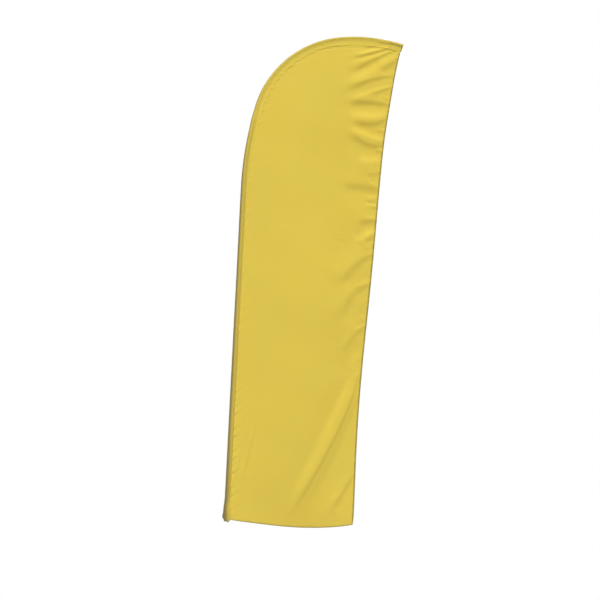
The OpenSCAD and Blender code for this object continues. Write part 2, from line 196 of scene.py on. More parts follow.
# the clear radius inside the sleeve along the pole: lower tube, middle tube, collar, tapering rod, cap
CLEAR_AT = (0, 1.020, 1.160, 1.640, 1.850, 1.935, 2.015, 2.060, 2.870, 2.930, 2.945, 3.0)
CLEAR_R = (13.1, 13.1, 12.4, 12.8, 11.0, 10.8, 10.6, 6.8, 4.0, 5.0, 5.8, 5.8)


def clear_r(s):
    return np.interp(s, CLEAR_AT, CLEAR_R) * MM


def seam_at(r):
    """How far from the pole's axis the sleeve's two layers meet, found by halving."""
    low, high = r + 1e-5, np.full_like(r, SLEEVE_W)
    for _ in range(24):
        d = (low + high) / 2
        girth = 2 * np.sqrt(d * d - r * r) + 2 * r * (math.pi - np.arccos(r / d))
        wide = girth > 2 * SLEEVE_W
        low, high = np.where(wide, low, d), np.where(wide, d, high)
    return (low + high) / 2


SEAM_TABLE = seam_at(clear_r(STATIONS)) + 2 * SLEEVE_T


def luff_d(s):
    return np.interp(s, STATIONS, SEAM_TABLE)


# ---- the sail's surface, by u across from the luff and v up from the foot ----
MOUTH_Z = 4 * MM
SAIL_TOP = POLE_LEN - 2 * MM
FOOT_W = 0.632
CORNER_Z = 0.010
FOOT_SAG = 0.021
CORNER_LIFT = 0.005
CORNER_PULL = 0.006
LEECH_SPREAD = 0.095
LEECH_WANDER = 4.5 * MM
WANDER_CREST, WANDER_LENGTH = 1.30, 1.40
BELLY = 0.034
HEM_W = 12 * MM
TIP = pole(SAIL_TOP) + luff_d(SAIL_TOP) * inward(SAIL_TOP)


def luff_s(v):
    return MOUTH_Z + (SAIL_TOP - MOUTH_Z) * (0.82 * v + 0.18 * v ** 3)


V_TABLE = np.linspace(0, 1, 4001)
LUFF_S_TABLE = luff_s(V_TABLE)


def luff(v):
    s = luff_s(v)
    return pole(s) + (luff_d(s) - 0.8 * MM)[..., None] * inward(s)


def leech(v):
    z = CORNER_Z + (TIP[2] - CORNER_Z) * v
    x = FOOT_W + LEECH_SPREAD * v ** 2 + (TIP[0] - FOOT_W - LEECH_SPREAD) * v ** 13
    wander = LEECH_WANDER * np.cos(2 * math.pi * (z - WANDER_CREST) / WANDER_LENGTH)
    wander = wander * (1 - smoothstep(z, 1.9, 2.2))
    wander = wander - CORNER_PULL * np.exp(-z / 0.03)
    return np.stack([x + wander, np.zeros_like(x), z], -1)


def chord(v):
    return np.maximum(np.linalg.norm(leech(v) - luff(v), axis=-1), 1 * MM)


# ---- the sail's folds ----
# half widths of a flank in millimetres, at its start and at its end
TICK, SMALL, EVEN = (4, 4), (5.5, 5.5), (10, 10)
SHARP, OPENING, LOOSE = (5, 11.5), (5.5, 15), (8.5, 17)
BROAD, WIDE, FLARED, FAINT = (11, 18), (16, 22), (12, 27), (33, 37)
PATH_GAP = 4 * MM


def edge_x(z):
    """How far out the free edge is at height z."""
    return leech(np.array((z - CORNER_Z) / (TIP[2] - CORNER_Z)))[0]


def flank(x, z, reach, fall, slope, kind, bow=0.0):
    """One flank of a fold: its slope, above 0 where it faces down, its kind, and points along its line.
    The line starts at x and z, runs in by reach and down by fall, and bow bends its first half upwards."""
    length = math.hypot(reach, fall)
    t = np.linspace(0, 1, max(3, int(length / PATH_GAP)))[:, None]
    upward = np.array([-fall, reach]) / length
    line = np.array([x, z]) - t * np.array([reach, fall])
    return slope, kind, line + bow * np.sin(math.pi * t ** 0.75) * upward


def edge_fold(z, reach, fall, slope, kind, bow=0.0, inset=HEM_W):
    """A flank that leaves the free edge at height z, at a distance inset from it."""
    return flank(edge_x(z) - inset, z, reach, fall, slope, kind, bow)


FOLDS = (
    # fanning out from the tip
    edge_fold(2.405, 0.200, 0.065, 0.43, SHARP, -0.004, inset=0.058),
    edge_fold(2.410, 0.060, 0.012, 0.26, TICK, inset=0.127),
    edge_fold(2.408, 0.185, 0.050, -0.35, SHARP, 0.005, inset=0.058),
    edge_fold(2.400, 0.240, 0.135, 0.37, OPENING, inset=0.025),
    edge_fold(2.400, 0.210, 0.075, -0.29, SHARP, -0.004, inset=0.037),
    edge_fold(2.344, 0.090, 0.058, 0.26, BROAD, -0.004),
    edge_fold(2.370, 0.245, 0.158, -0.18, WIDE, -0.008, inset=0.030),
    edge_fold(2.292, 0.030, 0.004, -0.15, TICK),
    edge_fold(2.260, 0.245, 0.088, 0.32, OPENING, 0.015),
    edge_fold(2.230, 0.025, 0.006, 0.16, TICK),
    edge_fold(2.218, 0.220, 0.086, -0.22, OPENING, 0.003),
    edge_fold(2.205, 0.100, 0.042, 0.26, SHARP),
    edge_fold(2.156, 0.026, -0.006, -0.24, TICK),
    edge_fold(2.144, 0.024, -0.006, 0.16, TICK),
    edge_fold(2.118, 0.220, -0.004, 0.30, LOOSE, 0.005),
    # down the free edge
    edge_fold(2.078, 0.200, 0.006, -0.22, WIDE, -0.012, inset=0.019),
    edge_fold(2.046, 0.172, 0.022, 0.27, BROAD, -0.018),
    edge_fold(1.978, 0.038, -0.012, 0.20, SMALL),
    edge_fold(1.948, 0.178, -0.058, -0.27, LOOSE, -0.006),
    edge_fold(1.912, 0.178, -0.062, 0.25, BROAD, -0.020),
    edge_fold(1.898, 0.024, 0.000, -0.18, SMALL),
    edge_fold(1.886, 0.038, 0.002, 0.16, SMALL),
    edge_fold(1.848, 0.124, -0.002, -0.22, WIDE, -0.007),
    edge_fold(1.766, 0.064, 0.000, 0.16, EVEN),
    edge_fold(1.716, 0.048, -0.016, -0.18, SMALL),
    edge_fold(1.696, 0.186, -0.010, 0.22, WIDE),
    edge_fold(1.658, 0.072, -0.004, -0.16, SMALL),
    edge_fold(1.634, 0.054, 0.004, 0.20, SMALL),
    edge_fold(1.616, 0.062, -0.002, -0.25, SMALL),
    edge_fold(1.598, 0.036, -0.006, 0.19, SMALL),
    edge_fold(1.552, 0.042, -0.006, -0.20, SMALL),
    edge_fold(1.532, 0.084, 0.008, 0.22, BROAD),
    edge_fold(1.496, 0.092, 0.070, -0.25, BROAD),
    edge_fold(1.456, 0.046, 0.022, 0.22, EVEN),
    edge_fold(1.396, 0.036, 0.002, 0.13, SMALL),
    edge_fold(1.354, 0.158, 0.168, 0.22, FLARED, 0.022),
    edge_fold(1.426, 0.094, 0.168, -0.08, FAINT, -0.010, inset=0.092),
    edge_fold(1.232, 0.066, 0.030, -0.17, EVEN, 0.005),
    edge_fold(1.216, 0.140, 0.206, 0.22, FLARED, 0.029),
    edge_fold(1.062, 0.030, 0.006, -0.14, EVEN),
    edge_fold(1.024, 0.056, 0.038, -0.21, SMALL),
    edge_fold(0.998, 0.100, 0.124, 0.16, BROAD, 0.009),
    edge_fold(0.962, 0.044, 0.072, -0.11, BROAD, inset=0.085),
    edge_fold(0.888, 0.070, 0.150, -0.14, FLARED, 0.008, inset=0.019),
    edge_fold(0.838, 0.024, 0.004, 0.16, TICK),
    # down to the foot
    edge_fold(0.756, 0.320, 0.744, 0.36, SHARP, -0.029, inset=0.016),
    edge_fold(0.654, 0.240, 0.594, 0.21, WIDE, -0.013, inset=0.018),
    edge_fold(0.762, 0.304, 0.724, -0.31, WIDE, -0.005, inset=0.046),
    edge_fold(0.256, 0.104, 0.192, 0.31, LOOSE),
    edge_fold(0.178, 0.068, 0.112, -0.13, WIDE, inset=0.080),
    edge_fold(0.474, 0.010, 0.046, 0.16, TICK, inset=0.020),
    edge_fold(0.360, 0.006, 0.034, 0.16, TICK, inset=0.020),
    # beside the sleeve's seam
    flank(0.122, 0.462, 0.052, 0.292, 0.37, SMALL, 0.004),
    flank(0.060, 0.360, 0.022, 0.134, 0.26, SMALL),
    flank(0.088, 0.436, 0.028, 0.176, -0.22, SMALL),
)
FOLD_REACH = 3.6


def smooth_path(knots, gap):
    """Points about gap apart on a smooth curve through the knots."""
    k = np.array([knots[0], *knots, knots[-1]], float)
    k[0], k[-1] = 2 * k[1] - k[2], 2 * k[-2] - k[-3]
    parts = []
    for a, b, c, d in zip(k[:-3], k[1:-2], k[2:-1], k[3:]):
        t = np.linspace(0, 1, max(2, int(np.linalg.norm(c - b) / gap)), endpoint=False)[:, None]
        parts.append(0.5 * (2 * b + (c - a) * t + (2 * a - 5 * b + 4 * c - d) * t ** 2
                            + (3 * b - a - 3 * c + d) * t ** 3))
    return np.concatenate([*parts, k[-2:-1]])


def fold_height(x, z):
    """How far the folds lift the cloth towards the front."""
    height = np.zeros_like(x)
    place = np.stack([x, z], -1)
    for slope, (near_w, far_w), path in FOLDS:
        reach = 2.2 * FOLD_REACH * max(near_w, far_w) * MM
        inside = np.all((place > path.min(0) - reach) & (place < path.max(0) + reach), axis=-1)
        spots = place[inside]
        if not len(spots):
            continue
        ways = np.gradient(path, axis=0)
        ways /= np.linalg.norm(ways, axis=1)[:, None]
        nearest = np.argmin(((spots[:, None] - path[None]) ** 2).sum(-1), axis=1)
        off = spots - path[nearest]
        way = ways[nearest]
        side = off[:, 0] * way[:, 1] - off[:, 1] * way[:, 0]
        beyond = (off * way).sum(-1)
        t = nearest / (len(path) - 1)
        w = (near_w + (far_w - near_w) * t) * MM
        share = (0.6 + 0.4 * smoothstep(t, 0, 0.15)) * (1 - 0.9 * smoothstep(t, 0.66, 1.0))
        share *= hump(beyond, 0, 1.5 * w)
        profile = np.tanh(side / w) * hump(side, 0, FOLD_REACH * w)
        height[inside] += slope * w * share * profile
    return height


pucker_wave = ripples((0.019, 0.026, 0.034, 0.047, 0.081))
drift_wave = ripples((0.31, 0.47, 0.83))
ease_wave = ripples((0.023, 0.037, 0.058))


def pucker_height(x, z, from_leech, from_luff):
    """Short puckers that run in from the hem and from the seam, and a slow unevenness of the whole sail."""
    strength = smoothstep(z, 0.85, 1.15) * 0.75 + 0.25
    hem = 0.6 * MM * strength * pucker_wave(z + 0.25 * from_leech) * np.exp(-from_leech / 0.030)
    low = 0.7 + 0.5 * (1 - smoothstep(z, 0.3, 1.0))
    seam = low * MM * ease_wave(z - 0.8 * from_luff) * np.exp(-from_luff / 0.024)
    slow = 1.6 * MM * drift_wave(z + 0.35 * x) * np.sin(math.pi * np.clip(x / 0.65, 0, 1))
    return hem + seam + slow


def surface(u, v):
    """A point of the sail's middle surface, for arrays of u and v."""
    u, v = np.broadcast_arrays(np.asarray(u, float), np.asarray(v, float))
    start, end, width = luff(v), leech(v), chord(v)
    p = start + u[..., None] * (end - start)
    bow = BELLY * np.sin(math.pi * u) * np.sin(math.pi * v ** 0.8) * np.minimum(1, width / 0.3)
    near_foot = np.maximum(0, 1 - v / 0.13) ** 2
    p[..., 2] -= FOOT_SAG * np.sin(math.pi * u ** 1.25) * near_foot
    p[..., 2] += CORNER_LIFT * (np.exp(-u / 0.05) + np.exp((u - 1) / 0.05)) * near_foot
    pull = smoothstep(width, 0.01, 0.08)
    x, z = p[..., 0], p[..., 2]
    lift = fold_height(x, z) + pucker_height(x, z, (1 - u) * width, u * width)
    p[..., 1] -= bow + lift * pull
    return p


# ---- the cloth pieces ----
BODY = "upper_flag"
FORWARD = np.array([0, -1.0, 0])


def spaced(count, ends):
    """Places from 0 to 1, closer together near both ends."""
    t = np.linspace(0, 1, count)
    return t - ends * np.sin(2 * math.pi * t) / (2 * math.pi)


def make_sail():
    columns, rows = 150, 500
    u = spaced(columns, 0.35)[None, :]
    v = np.linspace(0.0012, 0.9995, rows)[:, None]
    share = 1 - np.minimum(4 * MM / chord(v), 0.3)
    middle = surface(u * share, v + 0 * u)
    half = 0.25 * MM
    return make_piece("sail_sheet", *shell(middle + half * FORWARD, middle - half * FORWARD),
                      BODY, "sail_cloth", ["sail"])


HEM_THICK = 1.7 * MM
HEM_ROWS = (2.4 * MM, HEM_W - 2 * MM)


def hem_profile(q):
    """Half thickness of a turned hem at distance q from its edge, drawn in along its rows of stitching."""
    round_edge = np.sqrt(np.clip(1 - (1 - np.minimum(q / (0.9 * MM), 1)) ** 2, 0, 1))
    dips = 0.30 * MM * sum(hump(q, row, 0.7 * MM) for row in HEM_ROWS)
    return (HEM_THICK / 2 + 0.15 * MM * hump(q, 0.9 * MM, 0.7 * MM)) * round_edge - dips * round_edge


HEM_Q = np.array([0, 0.08, 0.3, 0.7, 1.2, 1.9, 2.4, 2.9, 4, 6, 8, 9.2, 10, 10.8, 11.6, 12]) * MM
stitch_pull = ripples((4.5 * MM, 9 * MM, 13 * MM))
edge_wave = ripples((0.031, 0.052, 0.11))


def edge_shade(piece, run, level, width):
    """The outer edge of a hem is darker, more in some places than in others: partly its overlocked, doubled
    cloth and partly painted shade.
    """
    reach = width * (1 + 0.13 * edge_wave(run))
    fade = 1 - smoothstep(HEM_Q[None, :] / reach, 0.55, 1.05)
    shade = level * (0.9 + 0.1 * edge_wave(1.7 * run)) * fade
    shade_both(piece, shade)


def make_leech_hem():
    v = np.linspace(0, 0.9985, 760)[:, None]
    share = np.minimum(HEM_Q / chord(v), 0.5 * HEM_Q / HEM_W)
    middle = surface(1 - share, v + 0 * share)
    puff = hem_profile(HEM_Q)[None, :]
    puff = puff * (1 + 0.22 * stitch_pull(middle[..., 2]) * (HEM_Q > 1 * MM))
    step = puff[..., None] * FORWARD
    piece = make_piece("leech_hem_band", *shell(middle + step, middle - step),
                       BODY, "hem_cloth", ["leech_hem"])
    edge_shade(piece, middle[..., 2], 1.0, 9 * MM)
    return piece


FOOT_SHARE = 0.85  # the foot's hem is thinner than the free edge's


def make_foot_hem():
    u = np.linspace(0.003, 0.9985, 230)[:, None]
    v = HEM_Q[None, :] / (TIP[2] - CORNER_Z)
    middle = surface(u + 0 * v, v + 0 * u)
    puff = FOOT_SHARE * hem_profile(HEM_Q)[None, :]
    puff = puff * (1 + 0.22 * stitch_pull(middle[..., 0]) * (HEM_Q > 1 * MM))
    step = puff[..., None] * FORWARD
    piece = make_piece("foot_hem_band", *shell(middle - step, middle + step),
                       BODY, "hem_cloth", ["foot_hem"])
    edge_shade(piece, middle[..., 0], 0.75, 6 * MM)
    return piece


SEAM_Q = np.array([-3.4, -3.2, -2.6, -1.8, -1.0, 0.2, 1.2, 2.0, 2.8, 3.8, 4.6, 5.0, 5.2]) * MM
SEAM_ROWS = (-1.0 * MM, 3.2 * MM)


def seam_half(q):
    """Half thickness of the lapped seam, which wedges down from the sleeve on to the sail."""
    wedge = np.interp(q, (-3.4 * MM, 5.2 * MM), (2.3 * MM, 0.9 * MM))
    dips = 0.3 * MM * sum(hump(q, row, 0.6 * MM) for row in SEAM_ROWS)
    ends = smoothstep(q, -3.6 * MM, -3.0 * MM) * 0.3 + 0.7
    return (wedge - dips) * ends * np.where(q > 5.1 * MM, 0.45, 1)


def seam_point(s, q):
    """A point at distance q beyond the sleeve's seam: on the sail where q is above 0."""
    v = np.interp(s, LUFF_S_TABLE, V_TABLE)
    on_sail = surface(np.clip(q, 0, 1) / chord(v), v)
    short_of = np.minimum(q, 0)[..., None] * inward(s)
    return on_sail + short_of


def make_seam():
    s = np.linspace(MOUTH_Z + 1 * MM, POLE_LEN - 12 * MM, 720)[:, None]
    q = SEAM_Q[None, :] + 0 * s
    middle = seam_point(s + 0 * q, q)
    puff = seam_half(q) * (1 + 0.10 * stitch_pull(s))
    step = puff[..., None] * FORWARD
    return make_piece("luff_seam", *shell(middle + step, middle - step), BODY, "sleeve_cloth")


# ---- the sleeve, with its drawn-in mouth ----
CHANNEL_Z = 66 * MM
CHANNEL_WIDTH = 34 * MM
CHANNEL_SWELL = 3.9 * MM
POCKET_LEN = 72 * MM
ARC_STEPS, FLANK_STEPS = 34, 14
front_wave = ripples((0.017, 0.029, 0.043, 0.071))
back_wave = ripples((0.021, 0.033, 0.049, 0.083))
arc_wave = ripples((0.037, 0.061, 0.113))


def section(s, r, d, waist, uneven):
    """Rings of the sleeve at stations s: back flank from the seam, round the pole, front flank to the seam.
    Returns the points and, for each, its angle from the outermost line."""
    reach = math.pi - np.arccos(r / d)
    turn = reach[:, None] * np.linspace(1, -1, ARC_STEPS)[None, :]
    arc = np.stack([-r[:, None] * np.cos(turn), r[:, None] * np.sin(turn)], -1)
    t = np.linspace(1, 0, FLANK_STEPS, endpoint=False)[None, :]
    start = np.stack([-r * np.cos(reach), r * np.sin(reach)], -1)[:, None, :]
    end = np.stack([d, 0 * d], -1)[:, None, :]
    flank = start + (end - start) * t[..., None]
    flank[..., 1] *= 1 - waist[:, None] * np.sin(math.pi * t)
    size = uneven[:, None] * np.sin(math.pi * t) ** 0.8
    back, front = flank.copy(), (flank * [1, -1])[:, ::-1]
    back[..., 1] += size * back_wave(s[:, None] + 0.5 * SLEEVE_W * t)
    front[..., 1] -= size[:, ::-1] * front_wave(s[:, None] - 0.6 * SLEEVE_W * t[:, ::-1])
    arc *= (1 + 0.2 * uneven[:, None] / r[:, None] * arc_wave(s[:, None] + 0.01 * turn))[..., None]
    ring = np.concatenate([back, arc, front[:, :-1]], axis=1)
    flank_angle = reach[:, None] * (1 + 0.4 * t)
    angle = np.concatenate([flank_angle, turn, -flank_angle[:, ::-1][:, :-1]], axis=1)
    return ring, angle


def mouth_shape(ring, angle, s):
    """Draws the sleeve's foot in over the cord's channel, and flares and ruffles its mouth below."""
    distance = np.linalg.norm(ring, axis=-1)
    below = smoothstep(CHANNEL_Z - 8 * MM - s, 0, 45 * MM)[:, None]
    near = hump(s, CHANNEL_Z, CHANNEL_WIDTH)[:, None]
    pleats = 0.45 * MM * near * np.sin(15 * angle + 1.2 * np.sin(2 * angle))
    ruffle = below * (1.4 * MM * np.sin(5 * angle + 0.8) + 1.6 * MM)
    beak = 4.2 * MM * below * np.exp(-((angle / 0.6) ** 2))
    grown = distance + pleats + ruffle + beak
    return ring * (grown / distance)[..., None]


def on_pole(s, ring):
    """Rings set on the pole's line at stations s; their flanks rise and fall with the sail's folds."""
    p = pole(s)[:, None] + ring[..., :1] * inward(s)[:, None]
    share = smoothstep(ring[..., 0] / luff_d(s)[:, None], 0.35, 1.0)
    v = np.interp(s, LUFF_S_TABLE, V_TABLE)
    pull = smoothstep(chord(v), 0.01, 0.08)[:, None]
    p[..., 1] = ring[..., 1] - share * pull * fold_height(p[..., 0], p[..., 2])
    return p


# how much shade is painted on the sleeve at distances up the pole, partly standing for the dark pole
# showing through:
# along its outermost line, the millimetres between which that fades, and as a band across it
SHADE_AT = (0.05, 0.45, 1.70, 2.00, 2.25)
RIM_DARK = (0.62, 0.52, 0.50, 0.46, 0.50)
RIM_FROM = (7, 6, 4, 2, 0.5)
RIM_TO = (30, 19, 14, 10, 5.5)
BAND_DARK = (0.36, 0.40, 0.37, 0.24, 0.13)


def sleeve_shade(piece, s, out):
    """Darkens the cloth where it is stretched over the pole, most of all along its outermost line: partly
    the dark pole showing through, partly painted shade.
    """
    rows = (RIM_DARK, RIM_FROM, RIM_TO, BAND_DARK)
    rim, start, end, band = (np.interp(s, SHADE_AT, row)[:, None] for row in rows)
    along_rim = rim * (1 - smoothstep((out / MM - start) / (end - start), 0, 1))
    across_band = band * (1 - smoothstep(out, 18 * MM, 33 * MM))
    # near the tip: a painted shadow in the crease where the cloth leaves the rod, and less painted shade
    # along the rod's lit ridge
    near_tip = smoothstep(s, POLE_LEN - 0.14, POLE_LEN - 0.11)[:, None]
    crease = near_tip * (0.55 * hump(out, 18 * MM, 2.6 * MM) - 0.25 * hump(out, 9 * MM, 4 * MM))
    shade = np.clip(along_rim + across_band + crease, 0, 1)
    shade_both(piece, shade)


def make_sleeve():
    s = np.concatenate([np.linspace(MOUTH_Z, 0.13, 64), np.linspace(0.13, POLE_LEN - 5 * MM, 520)[1:]])
    channel = hump(s, CHANNEL_Z - 6 * MM, CHANNEL_WIDTH)
    r = clear_r(s) + CHANNEL_SWELL * channel
    d = luff_d(s) - 2 * SLEEVE_T
    waist = 0.12 + 0.38 * smoothstep(s, 2.0, 2.7)
    uneven = (0.35 + 0.15 * smoothstep(s, 1.8, 2.3)) * MM * (1 - 0.7 * channel)
    inner, _ = section(s, r, np.maximum(d, r + 1 * MM), waist, uneven)
    outer, angle = section(s, r + SLEEVE_T, np.maximum(d, r + 1 * MM) + 1.5 * SLEEVE_T, waist, uneven)
    inner, outer = mouth_shape(inner, angle, s), mouth_shape(outer, angle, s)
    rise = 14 * MM * np.exp(-((angle / 0.55) ** 2)) - 2.5 * MM * (1 - np.exp(-((angle / 1.2) ** 2)))
    rise = rise * (1 - smoothstep(s, MOUTH_Z, 45 * MM))[:, None]

    placed_outer, placed_inner = on_pole(s, outer), on_pole(s, inner)
    placed_outer[..., 2] += rise
    placed_inner[..., 2] += rise
    piece = make_piece("sleeve_sheet", *sock(placed_outer, placed_inner),
                       BODY, "sleeve_cloth", ["sleeve_lower", "sleeve_upper", "sleeve_cuff"])
    sleeve_shade(piece, s, outer[..., 0] + (r + SLEEVE_T)[:, None])
    return piece


def make_pocket():
    start, end = POLE_LEN - POCKET_LEN, POLE_LEN + 0.8 * MM
    s = start + (end - start) * spaced(60, 0.5)
    closing = smoothstep(s, POLE_LEN - 3 * MM, end)
    r = clear_r(s) * (1 - 0.55 * closing)
    d = luff_d(s) - 2 * SLEEVE_T - 2 * MM * closing
    waist = np.full_like(s, 0.5)
    uneven = 0.3 * MM * (1 - closing)
    puff = SLEEVE_T * (1.55 + 0.3 * smoothstep(s, start, start + 8 * MM))
    inner, _ = section(s, r + SLEEVE_T * 1.05, d + SLEEVE_T, waist, uneven)
    outer, angle = section(s, r + puff, d + 2.0 * SLEEVE_T, waist, uneven)
    gather = 0.25 * MM * np.sin(11 * angle + 40 * s[:, None]) * hump(s, end, 12 * MM)[:, None]
    outer *= (1 + gather / np.linalg.norm(outer, axis=-1))[..., None]
    piece = make_piece("tip_pocket_sheet", *sock(on_pole(s, outer), on_pole(s, inner), True),
                       BODY, "sleeve_cloth", ["tip_pocket"])
    # the pocket's shade: a dark line along its outermost line and over its closed end, partly the dark rod
    # showing through and partly painted shade; a painted shadow in the crease where the flank leaves the
    # rod; and a slight darkening all over
    out = outer[..., 0] + (r + puff)[:, None]
    edge = 1 - smoothstep(out, 1.0 * MM, 3.6 * MM)
    crease = 0.75 * hump(out, 13.5 * MM, 2.6 * MM)
    shut = smoothstep(s, end - 6 * MM, end - 2 * MM)[:, None]
    shade = np.clip(np.maximum(np.maximum(0.15 + 0 * out, crease), np.maximum(edge, shut)), 0, 1)
    shade_both(piece, shade)
    return piece


# ---- stitching ----
STITCH_PITCH = 4.6 * MM
STITCH_LEN = 3.5 * MM
STITCH_R = 0.28 * MM


def resample(points, pitch):
    """Points a stitch apart along a line, with the way it runs at each."""
    run = np.concatenate([[0], np.cumsum(np.linalg.norm(np.diff(points, axis=0), axis=1))])
    at = np.arange(pitch / 2, run[-1], pitch)
    middle = np.stack([np.interp(at, run, points[:, k]) for k in range(3)], -1)
    ahead = np.stack([np.interp(at + pitch / 4, run, points[:, k]) for k in range(3)], -1)
    way = ahead - middle
    length = np.linalg.norm(way, axis=1, keepdims=True)
    keep = length[:, 0] > 1e-6
    return middle[keep], way[keep] / length[keep]


def make_stitches(name, lines, slot):
    """One plump thread per stitch, its ends sunk in the cloth; each line is (points, outward direction)."""
    sides = 5
    along = np.array([-0.5, -0.25, 0.25, 0.5])
    sink = np.array([-0.9, 0.15, 0.15, -0.9])
    girth = np.array([0.35, 1, 1, 0.35])
    points, faces = [], []
    for line, outward in lines:
        middle, way = resample(line, STITCH_PITCH)
        out = np.broadcast_to(outward, middle.shape)
        across = np.cross(way, out)
        across /= np.linalg.norm(across, axis=1, keepdims=True)
        for m, w, o, c in zip(middle, way, out, across):
            first = len(points)
            for a, k, g in zip(along, sink, girth):
                hub = m + w * a * STITCH_LEN + o * k * STITCH_R
                for i in range(sides):
                    b = 2 * math.pi * i / sides
                    points.append(hub + STITCH_R * g * (math.cos(b) * o + math.sin(b) * c))
            faces += [tuple(f) for f in grid_faces(len(along), sides, True, first)]
            faces.append(tuple(first + i for i in reversed(range(sides))))
            faces.append(tuple(first + (len(along) - 1) * sides + i for i in range(sides)))
    return make_piece(name, points, faces, BODY, slot)


def both_sides(middle, half):
    return [(middle + half * FORWARD, FORWARD), (middle - half * FORWARD, -FORWARD)]


def make_all_stitches():
    v = np.linspace(0.001, 0.985, 900)
    u = np.linspace(0.01, 0.995, 260)
    s = np.linspace(MOUTH_Z + 3 * MM, POLE_LEN - 14 * MM, 1000)
    leech_rows, foot_rows, seam_rows = [], [], []
    for q in HEM_ROWS:
        half = float(hem_profile(np.array(q)))
        leech_rows += both_sides(surface(1 - np.minimum(q / chord(v), 0.5), v), half)
        foot_rows += both_sides(surface(u, np.full_like(u, q / (TIP[2] - CORNER_Z))), FOOT_SHARE * half)
    for q in SEAM_ROWS:
        seam_rows += both_sides(seam_point(s, np.full_like(s, q)), float(seam_half(np.array(q))))
    return [make_stitches("leech_stitches", leech_rows, "hem_cloth"),
            make_stitches("foot_stitches", foot_rows, "hem_cloth"),
            make_stitches("seam_stitches", seam_rows, "sleeve_cloth")]


# ---- the cord lock's spring, pressed between the barrel's floor and the button's foot ----
LOCK_FLOOR = (-9.5 * MM, 24 * MM, 46 * MM)
COIL_LEN = 9.5 * MM
COIL_R = 3.2 * MM
COIL_WIRE_R = 0.38 * MM


def make_coil():
    """Five and a half turns of wire that close up at both ends."""
    a = np.linspace(0, 11 * math.pi, 400)
    t = np.linspace(-1, 1, 400)
    run = 0.5 * (t + 0.55 * np.sin(math.pi * t) / math.pi)
    x = LOCK_FLOOR[0] + COIL_LEN / 2 + (COIL_LEN - 2 * COIL_WIRE_R) * run
    out = np.stack([0 * a, np.cos(a), np.sin(a)], -1)
    middle = np.stack([x, LOCK_FLOOR[1] + 0 * x, LOCK_FLOOR[2] + 0 * x], -1) + COIL_R * out
    b = np.linspace(0, 2 * math.pi, 12, endpoint=False)[None, :, None]
    ring = middle[:, None] + COIL_WIRE_R * (np.cos(b) * out[:, None] + np.sin(b) * np.array([1.0, 0, 0]))
    rows, columns = ring.shape[:2]
    faces = [*grid_faces(rows, columns, True), tuple(reversed(range(columns))),
             tuple(range((rows - 1) * columns, rows * columns))]
    piece = make_piece("cord_lock_coil", ring.reshape(-1, 3), faces,
                       BODY, "spring_steel", ["cord_lock_spring"])
    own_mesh(piece)
    return piece


# ---- the drawcord's free tail ----
CORD_D = 3 * MM
CORD_ROUTE = [
    [4.2, 14.4, 66], [4.8, 16.3, 66], [5.3, 18.2, 66], [5.9, 20.1, 65.7], [6.4, 21.9, 64.6],
    [6.8, 23.3, 62.6], [7, 24, 60], [7, 24, 54], [7, 24, 46], [7, 24, 38], [7, 24, 30], [7, 24, 22],
    [7, 24, 14], [7, 24, 6], [7, 24, -2]]


def make_cord():
    """A braided tube: two sets of strands wound against each other over a core."""
    path = smooth_path(np.array(CORD_ROUTE) * MM, 0.3 * MM)
    run = np.concatenate([[0], np.cumsum(np.linalg.norm(np.diff(path, axis=0), axis=1))])
    way = np.gradient(path, axis=0)
    way /= np.linalg.norm(way, axis=1)[:, None]
    side = np.array([0.96, -0.28, 0])
    across = np.cross(way, side)
    a = np.linspace(0, 2 * math.pi, 32, endpoint=False)[None, :]
    twist = 2 * math.pi * run[:, None] / (9 * MM)
    strands = np.maximum(np.abs(np.sin(4 * (a + twist))), np.abs(np.sin(4 * (a - twist))))
    r = CORD_D / 2 * (0.93 + 0.09 * strands)
    out = np.cos(a)[..., None] * side + np.sin(a)[..., None] * across[:, None]
    ring = path[:, None] + r[..., None] * out
    rows, columns = ring.shape[:2]
    faces = [*grid_faces(rows, columns, True, flip=True), tuple(range(columns)),
             tuple(reversed(range((rows - 1) * columns, rows * columns)))]
    piece = make_piece("drawcord_tail", ring.reshape(-1, 3), faces, BODY, "cord_braid", ["drawcord"])
    return piece


# ---- materials ----
def add(tree, kind, inputs=None, **settings):
    made = tree.nodes.new("ShaderNode" + kind)
    for key, value in settings.items():
        setattr(made, key, value)
    for key, value in (inputs or {}).items():
        if isinstance(value, bpy.types.NodeSocket):
            tree.links.new(value, made.inputs[key])
        else:
            made.inputs[key].default_value = value
    return made


def blank(name):
    material = bpy.data.materials.new(name)
    material.use_nodes = True
    tree = material.node_tree
    tree.nodes.clear()
    place = add(tree, "TexCoord").outputs["Object"]
    return material, tree, place


def stretched(tree, place, scale):
    return add(tree, "Mapping", {"Vector": place, "Scale": scale}).outputs["Vector"]


def noise(tree, place, scale, detail=3.0, rough=0.55):
    made = add(tree, "TexNoise", {"Vector": place, "Scale": scale, "Detail": detail, "Roughness": rough})
    return made.outputs["Fac"]


def spread(tree, value, low, high, to_low, to_high):
    made = add(tree, "MapRange", {"Value": value, "From Min": low, "From Max": high, "To Min": to_low,
                                  "To Max": to_high})
    return made.outputs["Result"]


def math_node(tree, operation, a, b):
    return add(tree, "Math", {0: a, 1: b}, operation=operation).outputs[0]


def tint(tree, factor, a, b, blend="MIX"):
    made = add(tree, "Mix", {0: factor, 6: a, 7: b}, data_type="RGBA", blend_type=blend)
    return made.outputs[2]


def toned(tree, colour, value):
    """colour times value."""
    grey = add(tree, "CombineColor", {0: value, 1: value, 2: value}).outputs[0]
    return tint(tree, 1.0, colour, grey, "MULTIPLY")


def output(tree, shader):
    add(tree, "OutputMaterial", {"Surface": shader})


def rgb(colour, k=1.0):
    return (colour[0] * k, colour[1] * k, colour[2] * k, 1)


YELLOW = (0.806, 0.618, 0.0805)
WEAVE = 0.75 * MM
WAVE_UNIT = 0.314


